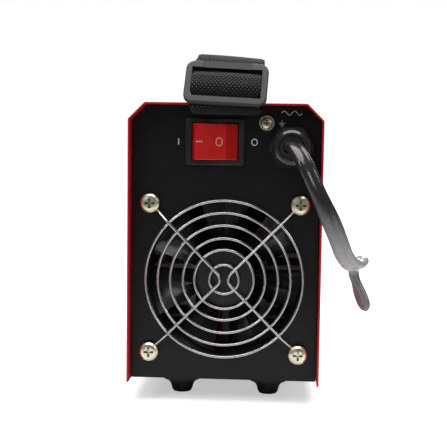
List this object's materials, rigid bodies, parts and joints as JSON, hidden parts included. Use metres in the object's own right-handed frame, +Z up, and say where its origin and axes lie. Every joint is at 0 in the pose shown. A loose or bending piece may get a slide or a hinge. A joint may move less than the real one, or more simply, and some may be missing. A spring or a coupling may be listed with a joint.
{
  "type": "stick welding inverter",
  "caption": "Compact stick welding inverter with folded red cover, caged cooling fan, rocker switch, cable gland, webbing carry strap with slider, current knob and output sockets.",
  "frame": {"origin": "under the middle of the whole object's bounding box, cable included, in the plane of the undersides of the four rubber feet; the case's own middle is at X -13.84 mm, Y +11.18 mm", "axes": "+Z up, +X across the width, the fan and switch end faces -Y, the knob and output socket end faces +Y"},
  "size_m": [0.138, 0.2694, 0.1921],
  "materials": {
    "red_paint": "satin powder coat",
    "black_paint": "fine-textured black powder coat",
    "bright_wire": "bright nickel plate",
    "zinc": "yellow-white zinc plate",
    "plain_steel": "plain zinc plate",
    "fan_plastic": "glass-filled black plastic",
    "blade_plastic": "glossy black plastic",
    "switch_plastic": "satin black plastic",
    "rocker_red": "clear red plastic",
    "gland_nylon": "black nylon",
    "cable_pvc": "dark grey flexible sheath",
    "lead_pvc": "insulated wire",
    "earth_pvc": "green-yellow insulated wire",
    "foot_rubber": "black moulded rubber",
    "webbing": "woven black webbing",
    "slider_plastic": "grey acetal",
    "knob_plastic": "black phenolic",
    "lamp_green": "clear green lens",
    "lamp_yellow": "clear yellow lens",
    "socket_plastic": "black moulded plastic",
    "brass_metal": "turned brass",
    "copper_metal": "copper",
    "board_green": "glass-epoxy board",
    "raw_aluminium": "extruded aluminium",
    "package_black": "moulded epoxy",
    "ferrite": "sintered ferrite",
    "can_sleeve": "sleeved can"
  },
  "bodies": {
    "case": {"cover": "red_paint", "chassis": "black_paint", "cover_screws": "zinc", "cover_nuts": "plain_steel", "feet": "foot_rubber", "foot_screws": "zinc", "foot_nuts": "plain_steel", "fan_frame": "fan_plastic", "fan_bearing": "brass_metal", "fan_stator": "copper_metal", "fan_guard": "bright_wire", "guard_screws": "zinc", "guard_nuts": "plain_steel", "switch_housing": "switch_plastic", "switch_terminals": "brass_metal", "gland_body": "gland_nylon", "gland_nut": "gland_nylon", "gland_seal": "foot_rubber", "gland_locknut": "gland_nylon", "mains_cable": "cable_pvc", "mains_leads": "lead_pvc", "switch_leads": "lead_pvc", "fan_lead": "lead_pvc", "earth_lead": "earth_pvc", "earth_screw": "zinc", "earth_washer": "zinc", "earth_nut": "plain_steel", "carry_strap": "webbing", "strap_clamps": "plain_steel", "clamp_screws": "zinc", "clamp_nuts": "plain_steel", "socket_shells": "socket_plastic", "socket_contacts": "brass_metal", "socket_nuts": "plain_steel", "potentiometer": "plain_steel", "knob_nut": "plain_steel", "power_lamp": "lamp_green", "fault_lamp": "lamp_yellow", "control_board": "board_green", "control_chips": "package_black", "power_board": "board_green", "board_spacers": "brass_metal", "board_screws": "zinc", "heatsinks": "raw_aluminium", "transistors": "package_black", "capacitors": "can_sleeve", "bridge_rectifier": "package_black", "relay": "package_black", "transformer_core": "ferrite", "transformer_winding": "copper_metal", "output_bars": "copper_metal", "terminal_nuts": "plain_steel"},
    "rotor": {"fan_rotor": "blade_plastic", "fan_shaft": "plain_steel"},
    "rocker": {"power_rocker": "rocker_red"},
    "knob": {"current_knob": "knob_plastic", "knob_shaft": "plain_steel"},
    "slider": {"strap_slider": "slider_plastic"}
  },
  "joints": [
    {"name": "fan_spin", "type": "hinge", "parent": "case", "child": "rotor", "pos_m": [-0.01384, -0.08882, 0.0695], "axis": [0, 1, 0], "continuous": true},
    {"name": "rocker_tilt", "type": "hinge", "parent": "case", "child": "rocker", "pos_m": [-0.01984, -0.09532, 0.1447], "axis": [0, 0, -1], "range_deg": [0, 20]},
    {"name": "knob_turn", "type": "hinge", "parent": "case", "child": "knob", "pos_m": [-0.01384, 0.11768, 0.126], "axis": [0, -1, 0], "range_deg": [0, 270]},
    {"name": "slider_shift", "type": "slide", "parent": "case", "child": "slider", "axis": [0, 0.4695, 0.8829], "range_m": [0, 0.008], "deforming": ["carry_strap"]}
  ]
}
